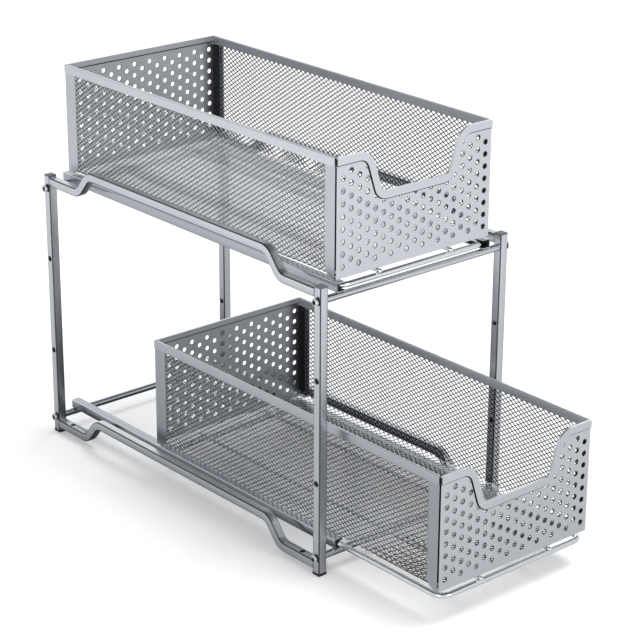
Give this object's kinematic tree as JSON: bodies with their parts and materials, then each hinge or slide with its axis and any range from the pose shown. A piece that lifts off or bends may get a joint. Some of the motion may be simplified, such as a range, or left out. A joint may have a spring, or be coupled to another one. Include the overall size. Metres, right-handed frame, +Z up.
{
  "type": "pull-out cabinet basket",
  "caption": "Two-tier pull-out organiser: mesh baskets with dipped, perforated fronts slide on wire loops in a bolted square-tube frame.",
  "frame": {"origin": "on the floor, under the middle of the bounding box of the assembly with its lower basket pulled out 153 mm", "axes": "+Z up; the baskets pull out towards -Y, which is the front; +X is to the right of someone in front of the cabinet who looks along +Y"},
  "size_m": [0.2628, 0.623, 0.4347],
  "materials": {
    "silver_paint": "satin silver-grey powder coat on steel tube and bar, slight cool tint",
    "slide_steel": "satin silver-grey coat on folded steel strip, polished inside by the wire",
    "panel_paint": "smooth satin silver-grey powder coat on 0.8 mm punched sheet",
    "mesh_paint": "silver-grey coat on expanded diamond mesh, a little darker where strands turn away",
    "bright_wire": "bright nickel-chrome plate on round steel wire",
    "zinc_hardware": "bright zinc plate on cross-recess screws and washers",
    "grey_plastic": "fine-grained moulded grey plastic",
    "black_plastic": "fine-grained moulded black plastic",
    "foot_plastic": "fine-grained moulded black plastic, slightly soft"
  },
  "bodies": {
    "frame": {"front_left_post": "silver_paint", "front_right_post": "silver_paint", "rear_left_post": "silver_paint", "rear_right_post": "silver_paint", "upper_left_rail": "silver_paint", "upper_right_rail": "silver_paint", "lower_left_rail": "silver_paint", "lower_right_rail": "silver_paint", "upper_front_crossbar": "silver_paint", "upper_rear_crossbar": "silver_paint", "lower_front_crossbar": "silver_paint", "lower_rear_crossbar": "silver_paint", "upper_left_slide": "slide_steel", "upper_right_slide": "slide_steel", "lower_left_slide": "slide_steel", "lower_right_slide": "slide_steel", "upper_left_guide": "black_plastic", "upper_right_guide": "black_plastic", "lower_left_guide": "black_plastic", "lower_right_guide": "black_plastic", "front_left_cap": "grey_plastic", "front_right_cap": "grey_plastic", "rear_left_cap": "grey_plastic", "rear_right_cap": "grey_plastic", "front_left_foot": "foot_plastic", "front_right_foot": "foot_plastic", "rear_left_foot": "foot_plastic", "rear_right_foot": "foot_plastic", "crossbar_screws": "zinc_hardware", "lock_washers": "zinc_hardware", "flat_washers": "zinc_hardware"},
    "upper_basket": {"upper_front_panel": "panel_paint", "upper_back_panel": "panel_paint", "upper_mesh_tray": "mesh_paint", "upper_front_left_strip": "panel_paint", "upper_front_right_strip": "panel_paint", "upper_back_left_strip": "panel_paint", "upper_back_right_strip": "panel_paint", "upper_left_rim": "panel_paint", "upper_right_rim": "panel_paint", "upper_slide_loop": "bright_wire", "upper_left_runner": "bright_wire", "upper_right_runner": "bright_wire"},
    "lower_basket": {"lower_front_panel": "panel_paint", "lower_back_panel": "panel_paint", "lower_mesh_tray": "mesh_paint", "lower_front_left_strip": "panel_paint", "lower_front_right_strip": "panel_paint", "lower_back_left_strip": "panel_paint", "lower_back_right_strip": "panel_paint", "lower_left_rim": "panel_paint", "lower_right_rim": "panel_paint", "lower_slide_loop": "bright_wire", "lower_left_runner": "bright_wire", "lower_right_runner": "bright_wire"}
  },
  "joints": [
    {"name": "upper_basket_slide", "type": "slide", "parent": "frame", "child": "upper_basket", "axis": [0, -1, 0], "range_m": [0, 0.29]},
    {"name": "lower_basket_slide", "type": "slide", "parent": "frame", "child": "lower_basket", "axis": [0, -1, 0], "range_m": [-0.153, 0.137]}
  ]
}
